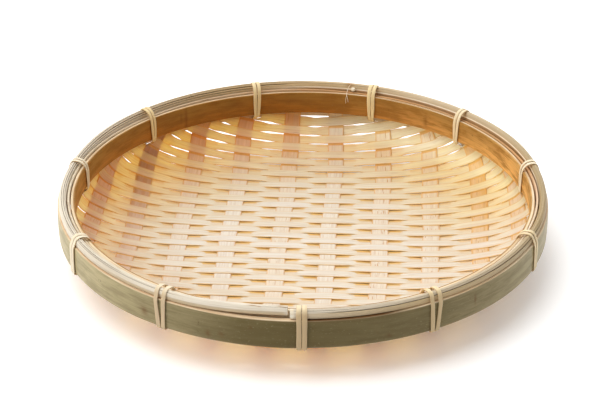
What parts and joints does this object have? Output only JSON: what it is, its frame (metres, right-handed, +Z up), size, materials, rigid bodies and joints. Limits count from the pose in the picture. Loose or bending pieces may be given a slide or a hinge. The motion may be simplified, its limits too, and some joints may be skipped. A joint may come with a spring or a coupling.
{
  "type": "woven soba basket",
  "caption": "Shallow round bamboo basket of flat woven strips with a lashed double-hoop rim, for draining and serving noodles.",
  "frame": {"origin": "middle of the basket at the level it stands on", "axes": "+Z up, warps along Y, wefts along X, front of the pictured view towards -Y"},
  "size_m": [0.2099, 0.2109, 0.0329],
  "materials": {
    "outer_hoop": "smooth olive-green bamboo skin with fine flecks",
    "inner_hoop": "smooth brown bamboo skin",
    "rim_cover": "smooth pale grey-cream bamboo skin",
    "rim_filler": "split bamboo",
    "warp": "split bamboo with lengthwise grain",
    "weft": "split bamboo with lengthwise grain",
    "lashing": "thin split bamboo"
  },
  "bodies": {
    "root": {"inner_hoop": "inner_hoop", "lashing_01": "lashing", "lashing_02": "lashing", "lashing_03": "lashing", "lashing_04": "lashing", "lashing_05": "lashing", "lashing_06": "lashing", "lashing_07": "lashing", "lashing_08": "lashing", "lashing_09": "lashing", "lashing_10": "lashing", "lashing_11": "lashing", "outer_hoop": "outer_hoop", "rim_cover": "rim_cover", "rim_filler": "rim_filler", "warp_01": "warp", "warp_02": "warp", "warp_03": "warp", "warp_04": "warp", "warp_05": "warp", "warp_06": "warp", "warp_07": "warp", "warp_08": "warp", "warp_09": "warp", "warp_10": "warp", "weft_01_02": "weft", "weft_03_04": "weft", "weft_05_06": "weft", "weft_07_08": "weft", "weft_09_10": "weft", "weft_11": "weft", "weft_12": "weft", "weft_13": "weft", "weft_14": "weft", "weft_15": "weft", "weft_16": "weft", "weft_17": "weft", "weft_18": "weft", "weft_19": "weft", "weft_20": "weft", "weft_21": "weft", "weft_22": "weft", "weft_23": "weft", "weft_24": "weft", "weft_25": "weft", "weft_26": "weft", "weft_27": "weft", "weft_28": "weft", "weft_29": "weft", "weft_30": "weft", "weft_31": "weft", "weft_32": "weft", "weft_33": "weft", "weft_34": "weft", "weft_35_36": "weft", "weft_37_38": "weft", "weft_39_40": "weft", "weft_41_42": "weft", "weft_43": "weft", "weft_44": "weft"}
  },
  "joints": []
}
